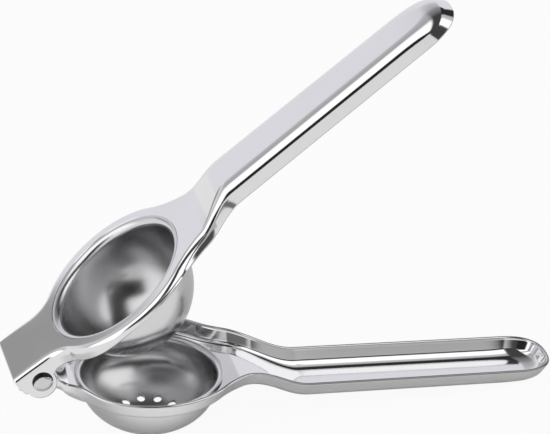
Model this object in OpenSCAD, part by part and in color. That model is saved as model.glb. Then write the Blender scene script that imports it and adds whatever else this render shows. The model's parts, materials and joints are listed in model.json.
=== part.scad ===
// Hinged hand press for citrus halves, in stamped stainless steel.
// Millimetres. X runs from the hinge to the handle tips, Y along the hinge pin, Z up.
// The upper arm stands open by open_angle, and the lower arm rests on its cup and handle tip.

/* [Overall] */
// Length of the lower arm, from the pin to the handle tip
lower_reach = 210; // [180:1:240]
// Length of the upper arm, from the pin to the handle tip
upper_reach = 212.5; // [180:0.5:245]
// Length of both arms behind the pin
tail = 8.5; // [8:0.1:12]
// Angle between the arms as stored
open_angle = 39.1; // [0:0.1:70]
// Thickness of the arms' steel sheet
sheet_t = 1.5; // [1:0.1:2]
// Thickness of the cups' steel sheet
cup_t = 1; // [0.8:0.1:1.2]

/* [Plan outline] */
// Distance from the pin to the centre of both cups
cup_x = 45.7; // [42:0.1:52]
// Half width of the arms at the hinge, outside the ears
hinge_hw = 16.4; // [14:0.1:20]
// Radius of the ring that carries each cup
ring_r = 36; // [35.5:0.1:42]
// Radius of the hollow between hinge and ring
hinge_hollow_r = 13.4; // [10:0.1:18]
// Radius of the hollow between ring and handle
neck_hollow_r = 39.7; // [25:0.1:55]
// Half width of the handle where it leaves the neck
neck_hw = 15; // [12:0.1:18]
// Half width of the handle just before its tip
tip_hw = 14.4; // [11:0.1:17]
// Length over which the tip rounds off
tip_len = 16.7; // [10:0.1:24]
// Roundness of the tip, 2 is an ellipse and more is blunter
tip_power = 2.5; // [2:0.1:3]
// Width of the rounded edge at the very tip of both handles
tip_edge_w = 9.2; // [7.5:0.1:9.4]
// Length over which the web curves towards the edge at both tips
tip_scoop_len = 24; // [18:0.5:30]
// Height by which the web curves towards the edge at both tips
tip_scoop = 1.2; // [0:0.1:1.5]

/* [Upper arm] */
// Height of the web's top above the pin, over the ears
upper_tail_z = 8; // [7.6:0.1:10]
// Height of the web's top above the pin, along the ring
upper_web_z = 6.9; // [6.5:0.1:9]
// Rise of the web from the ring up to the handle
upper_web_rise = 6.3; // [3:0.1:8]
// Height of the flange's edge above the pin, beside the ears
upper_rim_z = 0.3; // [0:0.1:1.5]
// Height of the flange's edge above the pin, where the ring is widest
ring_rim_z = 3.9; // [1:0.1:4]
// Height of the flange's edge above the pin, at the neck
neck_rim_z = 1.2; // [0.5:0.1:3]
// Height of the flange's edge above the pin, along the handle
handle_rim_z = 5.8; // [4:0.1:7]
// Distance from the ring's end to where the rise starts
upper_rise_gap = 2.3; // [0:0.1:8]
// Length over which the web rises
upper_rise_len = 20; // [15:0.5:28]
// Radius of the ears' round end
ear_r = 6.2; // [5.5:0.1:6.4]
// Distance of the ears' round end behind the pin
ear_back = 1.1; // [0:0.1:1.3]
// Distance of the ears' round end below the pin
ear_drop = 0.8; // [0:0.1:1.2]
// Radius of the rounded edge along hinge and ring
upper_edge_w = 2.6; // [2:0.1:2.8]
// Width of the rounded edge along the handle
handle_edge_w = 6.6; // [4:0.1:8]
// Height of the rounded edge along the handle
handle_edge_h = 4.4; // [3:0.1:5]

/* [Lower arm] */
// Depth of the tray's outside below the pin, at the hinge
lower_tail_depth = 5.8; // [5:0.1:7]
// Depth of the tray's outside below the pin, along the ring
lower_web_depth = 11.9; // [10:0.1:14]
// Depth of the tray's edge below the pin, beside the ears
lower_shoulder_depth = 1.9; // [1.5:0.1:2.5]
// Depth of the tray's edge below the pin, along the ring
lower_rim_depth = 4.6; // [4:0.1:6]
// Drop of the tray from the ring down to the handle
lower_drop = 8.8; // [6:0.1:11]
// Distance before the ring's end at which the drop starts
lower_drop_lead = 2.2; // [0:0.1:6]
// Length over which the tray drops
lower_drop_len = 28.5; // [22:0.5:36]
// Extra depth of the tray along the lower handle
lower_deepen = 1.1; // [0:0.1:2]
// Width of the rounded edge along the lower handle
lower_handle_w = 7.2; // [4:0.1:8]
// Height of the rounded edge along the lower handle
lower_handle_h = 4.8; // [3:0.1:5]
// Slope of the lower handle, in degrees
lower_slope = 2.8; // [0:0.1:4]
// Radius of the lower arm's ears round the pin
lower_ear_r = 5.2; // [4.8:0.1:5.4]
// Radius of the lower arm's rounded edge
lower_edge_r = 3.5; // [2.5:0.1:4]
// Extra radius of that edge in the hollow beside the hinge
lower_hollow_round = 2.6; // [0:0.1:3]
// Draft of the tray walls, as the step from edge to floor
wall_draft = 1.6; // [0.5:0.1:2.5]

/* [Cups] */
// Outside radius of the press cup just under its shoulder
press_r = 28.4; // [26:0.1:28.6]
// Depth of the press cup's outside below the upper web
press_depth = 33.2; // [26:0.1:34]
// Radius of the rounded shoulder from the upper web into the press cup
press_shoulder = 2.9; // [2:0.1:3.2]
// Outside radius of the strainer cup where it leaves the tray
strainer_r = 27.6; // [27.4:0.1:28]
// Depth of the strainer cup's outside below the tray
strainer_depth = 20.2; // [20:0.1:24]
// Radius of the strainer cup's flat bottom
strainer_flat_r = 9; // [6:0.1:12]
// Width of the lip that carries the strainer cup
strainer_lip_w = 1.6; // [1.4:0.1:2]
// Radius of the rounded mouth of the strainer cup
strainer_mouth = 2; // [1.4:0.1:2.2]
// Gap between each cup and the hole it sits in
cup_gap = 0.05; // [0.02:0.01:0.2]

/* [Drain holes] */
// Diameter of one drain hole
drain_d = 3.4; // [2.5:0.1:4]
// Radius of the inner ring of drain holes
drain_ring_r = 6.4; // [5.5:0.1:7]
// Number of drain holes in the inner ring, and in each step further out
drain_step = 6; // [4:1:7]
// Number of rings of drain holes round the middle one
drain_rings = 2; // [1:1:2]

/* [Hinge] */
// Radius of the rivet's shank
pin_r = 2.5; // [2:0.1:3]
// Radius of the rivet's heads
head_r = 4.1; // [3.5:0.1:5]
// Height of each rivet head
head_h = 1.8; // [1.2:0.1:2.5]
// Rounding of the rivet heads' edge
head_round = 0.7; // [0.3:0.1:1]
// Running clearance of the shank in its holes
pin_clear = 0.05; // [0.02:0.01:0.1]
// Gap between the upper arm's ears and the lower arm's
ear_gap = 0.45; // [0.4:0.05:0.7]

/* [Hidden] */
steel = [0.80, 0.80, 0.81];
steel_cup = [0.72, 0.72, 0.73];
steel_pin = [0.66, 0.66, 0.67];
round_fn = 96;
hole_fn = 32;
quarter = 90;

// Rows of the arms' skins along each stretch of the outline
ear_turn = 15;
hinge_rows = 5;
ring_rows = 16;
neck_rows = 10;
handle_rows = 9;
handle_power = 1.7;
handle_end_shares = [0.88, 0.94, 1];
tip_angles = [14, 28, 40, 50, 59, 67, 74, 80, 85, quarter];

// Lengths of the short blends from one height to the next
ring_lead = 6;
neck_lead = 9;
rise_lead = 3;
ear_blend = 3;
shoulder_lead = 1.6;
tray_lead = 1;
tray_blend = 8;
hollow_lead = 3;
joggle_lead = 1.6;
joggle_len = 2.2;
tip_blend = 22;
tip_blend_end = 2;
edge_wall = 0.4;
tail_wall = 1;
lobe_back = 0.8;
lobe_front = 0.9;

// Where the upper web rises and the lower tray drops, from the pin
upper_rise_start = cup_x + ring_r + upper_rise_gap;
upper_rise_end = upper_rise_start + upper_rise_len;
lower_drop_start = cup_x + ring_r - lower_drop_lead;
lower_drop_end = lower_drop_start + lower_drop_len;

// Plan of both arms: where the arcs of hinge hollow, ring and neck hollow meet
hinge_c_x = cup_x - sqrt(pow(ring_r + hinge_hollow_r, 2) - pow(hinge_hw + hinge_hollow_r, 2));
neck_c_x = cup_x + sqrt(pow(ring_r + neck_hollow_r, 2) - pow(neck_hw + neck_hollow_r, 2));
hinge_ang = asin((hinge_hw + hinge_hollow_r) / (ring_r + hinge_hollow_r));
neck_ang = asin((neck_hw + neck_hollow_r) / (ring_r + neck_hollow_r));
taper = atan((neck_hw - tip_hw) / (lower_reach - tip_len - neck_c_x));

// A station is [x, half width, x of the outward normal, y of the outward normal]
function ear_stations(cx, r) = [
    for (a = [2 * quarter:-ear_turn:0]) [cx + r * cos(a), hinge_hw, 0, 1]
];
function hollow_stations(cx, hw, r, from, to, n) = [
    for (i = [0:n])
        let (a = from + (to - from) * i / n)
        [cx + r * sin(a), hw + r - r * cos(a), -sin(a), cos(a)]
];
function ring_stations(n) = [
    for (i = [1:n - 1])
        let (a = mix(2 * quarter - hinge_ang, neck_ang, i / n))
        [cup_x + ring_r * cos(a), ring_r * sin(a), cos(a), sin(a)]
];
handle_shares = concat([for (i = [1:handle_rows - 1]) pow(i / handle_rows, handle_power)], handle_end_shares);
function handle_stations(len) = [
    for (k = handle_shares)
        [mix(neck_c_x, len - tip_len, k), mix(neck_hw, tip_hw, k), sin(taper), cos(taper)]
];
function tip_point(len, a) =
    [len - tip_len + tip_len * pow(sin(a), 2 / tip_power), tip_hw * pow(cos(a), 2 / tip_power)];
function tip_normal(a) =
    let (gx = pow(sin(a), 2 - 2 / tip_power) / tip_len, gy = pow(cos(a), 2 - 2 / tip_power) / tip_hw)
    [gx, gy] / norm([gx, gy]);
function tip_stations(len) = [
    for (a = tip_angles)
        let (p = tip_point(len, a), m = tip_normal(a))
        [p.x, a == quarter ? 0 : p.y, m.x, a == quarter ? 0 : m.y]
];
function stations(len, cx, r) = concat(
    [[-tail, hinge_hw, 0, 1], [(cx - r - tail) / 2, hinge_hw, 0, 1]],
    ear_stations(cx, r),
    [[(cx + r + hinge_c_x) / 2, hinge_hw, 0, 1]],
    hollow_stations(hinge_c_x, hinge_hw, hinge_hollow_r, 0, quarter - hinge_ang, hinge_rows),
    ring_stations(ring_rows),
    hollow_stations(neck_c_x, neck_hw, neck_hollow_r, neck_ang - quarter, 0, neck_rows),
    handle_stations(len),
    tip_stations(len)
);

// Smooth step from 0 to 1 while x runs from a to b
function ease(x, a, b) =
    let (t = min(1, max(0, (x - a) / (b - a))))
    t * t * (3 - 2 * t);
function mix(a, b, k) = a + (b - a) * k;
function arc_z(x, r) = sqrt(max(0, r * r - x * x));

// Both tips: how far the web curves towards the edge, and how far the rounded edge has widened
function scoop(x, len) = tip_scoop * pow(max(0, (x - len + tip_scoop_len) / tip_scoop_len), 2);
function tip_grow(x, len) = ease(x, len - tip_blend, len - tip_blend_end);

// Heights of the upper arm: web on top, flange edge below, and the ears round the pin
press_mouth_r = press_r - cup_t + press_shoulder;
function rising(x) = ease(x, upper_rise_start, upper_rise_end);
function upper_web(x) = mix(upper_tail_z, upper_web_z, ease(x, -tail, cup_x - press_mouth_r))
    + upper_web_rise * rising(x) - scoop(x, upper_reach);
ring_front = cup_x - ring_r + ring_lead;
ring_back = cup_x + neck_lead;
neck_x = upper_rise_start + rise_lead;
ear_x = -ear_back;
ear_z = -ear_drop;
function ring_rim(x) = mix(upper_rim_z, ring_rim_z, ease(x, ring_front, cup_x));
function neck_rim(x) = mix(ring_rim(x), neck_rim_z, ease(x, ring_back, neck_x));
function flange_rim(x) = mix(neck_rim(x), handle_rim_z, rising(x));
function upper_rim(x) =
    abs(x - ear_x) < ear_r ? ear_z - arc_z(x - ear_x, ear_r)
    : x < ear_x ? ear_z + ear_x - ear_r - x
    : mix(ear_z, flange_rim(x), ease(x, ear_x + ear_r, ear_x + ear_r + ear_blend));
function upper_edge_a(x) =
    mix(mix(upper_edge_w, handle_edge_w, rising(x)), tip_edge_w, tip_grow(x, upper_reach));
function upper_edge_b(x) = mix(upper_edge_w, handle_edge_h, rising(x));
function upper_draft(x) = wall_draft * rising(x);

// Heights of the lower arm: floor below, edge above, and its own ears round the pin
strainer_lip_r = strainer_r + strainer_lip_w;
tray_flat_x = cup_x - strainer_lip_r;
ear_blend_x = tray_flat_x + tray_blend;
handle_mid = (lower_drop_start + lower_drop_end) / 2;
function dropping(x) = ease(x, lower_drop_start, lower_drop_end);
function lower_fall(x) = lower_drop * dropping(x) + tan(lower_slope) * max(0, x - handle_mid);
function lower_web(x) =
    -mix(lower_tail_depth, lower_web_depth, ease(x, lower_ear_r - tray_lead, tray_flat_x - cup_gap))
    - lower_fall(x) - lower_deepen * dropping(x) + scoop(x, lower_reach);
shoulder_x = max(hinge_c_x, ear_r);
lobe_back_x = -lower_ear_r * lobe_back;
lobe_back_z = arc_z(lobe_back_x, lower_ear_r);
lobe_front_x = lower_ear_r * lobe_front;
lobe_front_z = arc_z(lobe_front_x, lower_ear_r);
lobe_slant = (lower_tail_depth + lobe_back_z - sheet_t - tail_wall) / (tail + lobe_back_x);
function lower_rim(x) =
    x < lobe_back_x ? lobe_back_z + (x - lobe_back_x) * lobe_slant
    : x < lobe_front_x ? arc_z(x, lower_ear_r)
    : mix(lobe_front_z, -lower_shoulder_depth, ease(x, -lobe_back_x, shoulder_x + shoulder_lead))
        - (lower_rim_depth - lower_shoulder_depth) * ease(x, shoulder_x, ear_blend_x) - lower_fall(x);
joggle_w = sheet_t + ear_gap;
joggle_x = ear_r + joggle_lead;
function joggle(x) = joggle_w * (1 - ease(x, joggle_x, joggle_x + joggle_len));
function hollow_edge(x) = lower_hollow_round * ease(x, joggle_x, tray_flat_x - hollow_lead);
function ring_edge(x) = lower_edge_r + hollow_edge(x) * (1 - ease(x, tray_flat_x, ear_blend_x));
function lower_edge_a(x) =
    mix(mix(ring_edge(x), lower_handle_w, dropping(x)), tip_edge_w, tip_grow(x, lower_reach));
function lower_edge_b(x) =
    min(mix(ring_edge(x), lower_handle_h, dropping(x)), lower_rim(x) - lower_web(x) - edge_wall);
function lower_draft(x) = wall_draft * ease(x, shoulder_x, ear_blend_x);

// Angle on the rounded edge, of width a and height b, at which a wall of that height and draft runs into it
function wall_turn(a, b, draft, wall) =
    let (u = (a + draft) / a, v = wall / b)
    acos(1 / norm([u, v])) - atan2(v, u);

// One point of a section: station, inward step, height, side
function place(s, step, y_in, side) = [s[0] - step * s[2], side * max(0, s[1] - y_in - step * s[3])];

// Half section of the upper arm's skin, from the flange edge to the middle. d is the depth below the outside
edge_steps = 4;
web_steps = 4;
half_n = edge_steps + web_steps + 2;
spine_back = 4;
tip_rows = len(tip_angles);
spine_step = 0.45;
function spine_x(i, n, q, len) =
    min(q, len - tip_len - spine_back + spine_step * max(0, i - n + tip_rows + 1));
function upper_point(s, i, n, j, side, d) =
    let (a = upper_edge_a(s[0]), b = upper_edge_b(s[0]), f = upper_draft(s[0]))
    j == 0 ? let (p = place(s, d, 0, side)) [p.x, p.y, upper_rim(s[0])]
    : j <= edge_steps + 1 ?
        let (wall = upper_web(s[0]) - b - upper_rim(s[0]), w0 = wall_turn(a - d, b - d, f, wall),
             w = mix(w0, quarter, (j - 1) / edge_steps), p = place(s, f + a - (a - d) * cos(w), 0, side))
        [p.x, p.y, upper_web(p.x) - b + (b - d) * sin(w)]
    : let (q = place(s, f + a, 0, side), k = (j - edge_steps - 1) / (web_steps + 1),
           x = q.x + (spine_x(i, n, q.x, upper_reach) - q.x) * k)
        [x, q.y * (1 - k), upper_web(x) - d];
function lower_point(s, i, n, j, side, d) =
    let (a = lower_edge_a(s[0]), f = lower_draft(s[0]), g = joggle(s[0]), b = lower_edge_b(s[0]))
    j == 0 ? let (p = place(s, d, g, side)) [p.x, p.y, lower_rim(s[0])]
    : j <= edge_steps + 1 ?
        let (wall = lower_rim(s[0]) - lower_web(s[0]) - b, w0 = wall_turn(a - d, b - d, f, wall),
             w = mix(w0, quarter, (j - 1) / edge_steps), p = place(s, f + a - (a - d) * cos(w), g, side))
        [p.x, p.y, lower_web(p.x) + b - (b - d) * sin(w)]
    : let (q = place(s, f + a, g, side), k = (j - edge_steps - 1) / (web_steps + 1),
           x = q.x + (spine_x(i, n, q.x, lower_reach) - q.x) * k)
        [x, q.y * (1 - k), lower_web(x) + d];

// Closed skin from a grid of points: outside, inside, edge strips and the open hinge end
cols = 2 * half_n + 1;
function grid_id(i, j, last) = i * cols + (i == last && j > half_n ? 2 * half_n - j : j);
function skin_faces(last, inside) = [
    for (i = [0:last - 1], j = [0:2 * half_n - 1])
        let (a = grid_id(i, j, last), b = grid_id(i + 1, j, last))
        let (c = grid_id(i + 1, j + 1, last), e = grid_id(i, j + 1, last))
        let (two = j < half_n ? [[a, c, b], [a, e, c]] : [[a, e, b], [e, c, b]])
        each inside ? [for (f = two) [f[0], f[2], f[1]]] : two
];
module skin(outer, inner, last, flip) {
    off = len(outer);
    o = skin_faces(last, false);
    n = [for (f = skin_faces(last, true)) [f[0] + off, f[1] + off, f[2] + off]];
    near = [
        for (i = [0:last - 1])
            let (a = grid_id(i, 0, last), b = grid_id(i + 1, 0, last))
            each [[a, b, b + off], [a, b + off, a + off]]
    ];
    far = [
        for (i = [0:last - 1])
            let (a = grid_id(i, 2 * half_n, last), b = grid_id(i + 1, 2 * half_n, last))
            each [[a, b + off, b], [a, a + off, b + off]]
    ];
    tail_end = [
        for (j = [0:2 * half_n - 1])
            let (a = grid_id(0, j, last), b = grid_id(0, j + 1, last))
            each [[a, b + off, b], [a, a + off, b + off]]
    ];
    all = concat(o, n, near, far, tail_end);
    polyhedron(concat(outer, inner), flip ? [for (f = all) [f[2], f[1], f[0]]] : all, convexity = 10);
}
function side_of(j) = j <= half_n ? -1 : 1;
function fold(j) = j <= half_n ? j : 2 * half_n - j;

upper_st = stations(upper_reach, ear_x, ear_r);
upper_n = len(upper_st);
function upper_skin(d) = [
    for (i = [0:upper_n - 1], j = [0:2 * half_n]) upper_point(upper_st[i], i, upper_n, fold(j), side_of(j), d)
];
upper_out = upper_skin(0);
upper_in = upper_skin(sheet_t);
lower_st = stations(lower_reach, 0, lower_ear_r);
lower_n = len(lower_st);
function lower_skin(d) = [
    for (i = [0:lower_n - 1], j = [0:2 * half_n]) lower_point(lower_st[i], i, lower_n, fold(j), side_of(j), d)
];
lower_out = lower_skin(0);
lower_in = lower_skin(sheet_t);

// Strainer cup heights
tray_z = -lower_web_depth;
strainer_z = tray_z - strainer_depth;
flat_front_x = cup_x + strainer_flat_r;
rest_slopes = [for (p = lower_out) if (p.x > lower_drop_end) (p.z - strainer_z) / (p.x - flat_front_x)];
rest_tilt = atan(min(rest_slopes));

// Everything is built about the pin. The row frame has the lower arm lying on the table, its middle at X = 0
function tilted(p, a) = [p.x * cos(a) + p.z * sin(a), p.y, p.z * cos(a) - p.x * sin(a)];
back_x = min([for (p = upper_out) tilted(tilted(p, -open_angle), rest_tilt).x]);
front_x = max([for (p = lower_out) tilted(p, rest_tilt).x]);
table_z = tilted([flat_front_x, 0, strainer_z], rest_tilt).z;
module seat() {
    translate([-(back_x + front_x) / 2, 0, -table_z]) rotate([0, rest_tilt, 0]) children();
}
module opened() {
    rotate([0, -open_angle, 0]) children();
}
module along_pin(r, len, fn) {
    rotate([quarter, 0, 0]) cylinder(r = r, h = len, center = true, $fn = fn);
}

module upper_arm() {
    color(steel) seat() opened() difference() {
        skin(upper_out, upper_in, upper_n - 1, false);
        along_pin(pin_r + pin_clear, 4 * hinge_hw, hole_fn);
        translate([cup_x, 0, 0]) cylinder(r = press_mouth_r + cup_gap, h = 2 * upper_web_z, $fn = round_fn);
    }
}

// Press cup: a deep drawn shell whose rounded shoulder lies flush in the upper web's hole
cup_steps = 18;
shoulder_steps = 6;
press_top = upper_web_z - press_shoulder;
press_drop = press_depth - press_shoulder;
function cup_arc(r, z, drop, n) = [for (i = [0:n]) let (a = quarter * i / n) [r * cos(a), z - drop * sin(a)]];
function shoulder(r_mid, z_mid, r, n) = [
    for (i = [0:n])
        let (a = quarter * i / n)
        [r_mid - r * sin(a), z_mid + r * cos(a)]
];
press_outer = concat(
    shoulder(press_mouth_r, press_top, press_shoulder - cup_t, shoulder_steps),
    [for (i = [1:cup_steps]) cup_arc(press_r, press_top, press_drop, cup_steps)[i]]
);
press_inner = concat(
    shoulder(press_mouth_r, press_top, press_shoulder, shoulder_steps),
    [for (i = [1:cup_steps]) cup_arc(press_r - cup_t, press_top, press_drop - cup_t, cup_steps)[i]]
);
function reversed(list) = [for (i = [len(list) - 1:-1:0]) list[i]];
module press_cup() {
    color(steel_cup) seat() opened() translate([cup_x, 0, 0]) rotate_extrude($fn = round_fn)
        polygon(concat(press_outer, reversed(press_inner)));
}

module lower_arm() {
    color(steel) seat() difference() {
        skin(lower_out, lower_in, lower_n - 1, true);
        along_pin(pin_r + pin_clear, 4 * hinge_hw, hole_fn);
        translate([cup_x, 0, tray_z - sheet_t])
            cylinder(r = strainer_r + cup_gap, h = 3 * sheet_t, $fn = round_fn);
    }
}

// Strainer cup: a shallower shell with a flat lip on the tray's floor, a flat bottom and drain holes
floor_z = tray_z + sheet_t;
flat_a = acos(strainer_flat_r / strainer_r);
function strainer_arc(r, depth, n) = [
    for (i = [0:n])
        let (a = flat_a * i / n)
        [r * cos(a), tray_z - depth * sin(a) / sin(flat_a)]
];
strainer_outer = concat(
    [[strainer_lip_r, floor_z], [strainer_r, floor_z]],
    strainer_arc(strainer_r, strainer_depth, cup_steps),
    [[0, strainer_z]]
);
mouth_mid_r = strainer_r - cup_t + strainer_mouth;
mouth_mid_z = floor_z + cup_t - strainer_mouth;
strainer_inner = concat(
    [[strainer_lip_r, floor_z + cup_t]],
    shoulder(mouth_mid_r, mouth_mid_z, strainer_mouth, shoulder_steps),
    strainer_arc(strainer_r - cup_t, strainer_depth - cup_t, cup_steps),
    [[0, strainer_z + cup_t]]
);
module drain_holes() {
    cylinder(d = drain_d, h = strainer_depth, center = true, $fn = hole_fn);
    for (k = [1:drain_rings])
        for (i = [0:drain_step * k - 1])
            rotate(360 * i / (drain_step * k)) translate([drain_ring_r * k, 0, 0])
                cylinder(d = drain_d, h = strainer_depth, center = true, $fn = hole_fn);
}
module strainer_cup() {
    color(steel_cup) seat() translate([cup_x, 0, 0]) difference() {
        rotate_extrude($fn = round_fn) polygon(concat(strainer_outer, reversed(strainer_inner)));
        translate([0, 0, strainer_z]) drain_holes();
    }
}

// Hinge rivet: shank through all four ears and a low domed head on each side
head_steps = 4;
function head_profile(side) = [
    for (i = [0:head_steps])
        let (a = quarter * i / head_steps, y = hinge_hw + head_h - head_round + head_round * sin(a))
        [head_r - head_round + head_round * cos(a), side * y]
];
module hinge_pin() {
    color(steel_pin) seat() rotate([quarter, 0, 0]) rotate_extrude($fn = round_fn)
        polygon(concat(
            [[0, hinge_hw + head_h]],
            [for (i = [head_steps:-1:0]) head_profile(1)[i]],
            [[head_r, hinge_hw], [pin_r, hinge_hw], [pin_r, -hinge_hw], [head_r, -hinge_hw]],
            head_profile(-1),
            [[0, -hinge_hw - head_h]]
        ));
}

upper_arm();
press_cup();
lower_arm();
strainer_cup();
hinge_pin();
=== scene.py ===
"""Hinged hand press for citrus halves, in polished stamped steel, with its studio.

Everything is in metres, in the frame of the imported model. Each sheet part is one closed surface worked out as
whole numpy arrays: a half outline seen from above, and a section that is carried along it.
"""
import json
import math

import bmesh
import bpy
import numpy as np
from mathutils import Matrix, Vector


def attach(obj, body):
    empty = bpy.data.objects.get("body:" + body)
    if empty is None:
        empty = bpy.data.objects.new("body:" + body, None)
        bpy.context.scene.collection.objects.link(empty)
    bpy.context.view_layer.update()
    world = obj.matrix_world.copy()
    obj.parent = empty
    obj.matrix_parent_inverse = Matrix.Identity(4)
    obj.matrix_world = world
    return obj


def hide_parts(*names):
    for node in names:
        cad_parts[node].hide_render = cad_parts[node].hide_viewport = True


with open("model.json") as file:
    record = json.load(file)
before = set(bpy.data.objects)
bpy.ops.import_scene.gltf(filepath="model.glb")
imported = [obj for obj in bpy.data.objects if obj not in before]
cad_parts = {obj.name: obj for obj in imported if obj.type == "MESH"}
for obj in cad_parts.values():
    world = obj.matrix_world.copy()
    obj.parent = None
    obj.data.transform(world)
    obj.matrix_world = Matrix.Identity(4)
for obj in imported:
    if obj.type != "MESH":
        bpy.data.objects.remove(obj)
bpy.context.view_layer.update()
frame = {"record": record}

bl_info = {
    "name": "Hinged Citrus Press",
    "version": (1, 0, 0),
    "blender": (4, 5, 0),
    "location": "View3D > Sidebar > Citrus Press",
    "description": "Builds a stamped steel hand press for citrus halves and its studio",
    "category": "Object",
}

HINGE = frame["record"]["behaviour"]["joints"][0]
PIN_X, PIN_Y, PIN_Z = HINGE["pos_m"]

# Steps along the outline: the rounded hinge end, up to the ears' arc, that arc and on to the hollow, and then
# hollow, ring, hollow, taper and tip.
END_STEPS, BEFORE_EAR_STEPS, EAR_STEPS, AFTER_EAR_STEPS = 4, 4, 48, 6
HINGE_HOLLOW_STEPS, RING_STEPS, NECK_HOLLOW_STEPS, TAPER_STEPS, TIP_STEPS = 27, 111, 55, 63, 41
# Steps along the section: wall, corner and half of the web, and the points on the flange's round edge.
WALL_STEPS, CORNER_STEPS, WEB_STEPS, EDGE_STEPS = 8, 16, 16, 7
# Steps round the turned pieces, and points along their profiles.
PRESS_STEPS, STRAINER_STEPS, RIVET_STEPS, PIN_HOLE_STEPS, DRAIN_STEPS = 256, 240, 128, 64, 40
PRESS_BOWL_POINTS, STRAINER_BOWL_POINTS, SHOULDER_POINTS, DOME_POINTS = 56, 48, 12, 25

DOUBLES = 1e-7  # points closer than this are merged
CRISP_ANGLE = math.radians(32)
CUT_EDGE = 0.00014  # eased edge where a cup's hole is cut
MIRRORED = np.array([1.0, -1.0, 1.0])


def length(name, text, default):
    """One size in metres, as a property with its unit."""
    return share(name, text, default, unit="LENGTH")


def turn(name, text, default):
    """One angle in radians, as a property."""
    return bpy.props.FloatProperty(name=name, description=text, default=default, subtype="ANGLE", precision=4)


def share(name, text, default, high=1.0, unit="NONE"):
    """One number from 0 up, as a property."""
    return bpy.props.FloatProperty(
        name=name, description=text, default=default, min=0.0, max=high, unit=unit, precision=5
    )


def level(name, text, default):
    """How bright one part of the studio is, as a property."""
    return share(name, "Level of the " + text, default, high=4.0)


def paint(name, text, default):
    """One linear colour, as a property."""
    return bpy.props.FloatVectorProperty(
        name=name, description=text, default=default, size=3, min=0.0, max=1.0, subtype="COLOR"
    )


class PressArmSizes(bpy.types.PropertyGroup):
    """Sizes that both stamped arms share, with X measured from the hinge pin."""

    open_angle: turn("Opening", "Angle between the arms as stored", math.radians(39.1))
    rest_tilt: turn("Tilt on the table", "Angle at which the lower arm lies", math.radians(2.18199))
    sheet: length("Sheet", "Thickness of the arms' steel", 0.0015)
    tail: length("Tail", "Length of both arms behind the pin", 0.0085)
    lower_reach: length("Lower reach", "Pin to the lower handle's tip", 0.210)
    upper_reach: length("Upper reach", "Pin to the upper handle's tip", 0.2125)
    cup_x: length("Cup centre", "Pin to the middle of both cups", 0.0457)
    hinge_hw: length("Hinge half width", "Half width outside the ears", 0.0164)
    ring_r: length("Ring radius", "Outside radius of the ring round a cup", 0.036)
    hinge_hollow_r: length("Hinge hollow", "Radius of the hollow between hinge and ring", 0.0134)
    neck_hollow_r: length("Neck hollow", "Radius of the hollow between ring and handle", 0.0397)
    neck_hw: length("Neck half width", "Half width where the handle starts", 0.015)
    tip_hw: length("Tip half width", "Half width just before the tip", 0.0144)
    tip_len: length("Tip length", "Length over which the tip rounds off", 0.0167)
    tip_power: share("Tip roundness", "2 is an ellipse and more is blunter", 2.5, 4.0)
    draft: length("Wall draft", "Step of the walls from edge to floor", 0.0016)
    tip_edge_w: length("Tip edge width", "Width of the rounded edge at the very tip", 0.0092)
    scoop_len: length("Scoop length", "Length over which the web curves towards the edge at the tip", 0.024)
    scoop: length("Scoop height", "Height by which the web curves there", 0.0012)


class UpperArmSizes(bpy.types.PropertyGroup):
    """Heights of the press arm above the pin."""

    tail_z: length("Web over the ears", "Top of the web over the ears", 0.008)
    web_z: length("Web at the ring", "Top of the web along the ring", 0.0069)
    web_rise: length("Web rise", "Rise of the web up to the handle", 0.0063)
    rim_z: length("Edge by the ears", "Flange edge beside the ears", 0.0003)
    ring_rim_z: length("Edge at the ring", "Flange edge where the ring is widest", 0.0039)
    neck_rim_z: length("Edge at the neck", "Flange edge at the neck", 0.0012)
    handle_rim_z: length("Edge at the handle", "Flange edge along the handle", 0.0058)
    rise_gap: length("Rise gap", "From the ring's end to where the rise starts", 0.0023)
    rise_len: length("Rise length", "Length over which the web rises", 0.020)
    ear_r: length("Ear radius", "Radius of the ears' round end", 0.0062)
    ear_back: length("Ear setback", "Round end behind the pin", 0.0011)
    ear_drop: length("Ear drop", "Round end below the pin", 0.0008)
    edge_w: length("Edge radius", "Rounded edge along hinge and ring", 0.0026)
    handle_edge_w: length("Handle edge width", "Width of the handle's rounded edge", 0.0066)
    handle_edge_h: length("Handle edge height", "Height of the handle's rounded edge", 0.0044)


class LowerArmSizes(bpy.types.PropertyGroup):
    """Depths of the strainer arm below the pin."""

    tail_depth: length("Depth at the hinge", "Outside depth at the hinge", 0.0058)
    web_depth: length("Depth at the ring", "Outside depth along the ring", 0.0119)
    shoulder_depth: length("Edge by the ears", "Depth of the edge beside the ears", 0.0019)
    rim_depth: length("Edge at the ring", "Depth of the edge along the ring", 0.0046)
    drop: length("Drop", "Drop of the tray down to the handle", 0.0088)
    drop_lead: length("Drop lead", "How far before the ring's end the drop starts", 0.0022)
    drop_len: length("Drop length", "Length over which the tray drops", 0.0285)
    deepen: length("Handle depth", "Extra depth of the tray along the handle", 0.0011)
    handle_w: length("Handle edge width", "Width of the rounded edge along the handle", 0.0072)
    handle_h: length("Handle edge height", "Height of the rounded edge along the handle", 0.0048)
    slope: turn("Handle slope", "Slope of the lower handle", math.radians(2.8))
    ear_r: length("Ear radius", "Radius of the lower arm's ears", 0.0052)
    edge_r: length("Edge radius", "Radius of the rounded edge", 0.0035)
    hollow_round: length("Extra radius", "Extra edge radius beside the hinge", 0.0026)
    ear_gap: length("Ear gap", "Gap between the ears of both arms", 0.00045)


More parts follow.
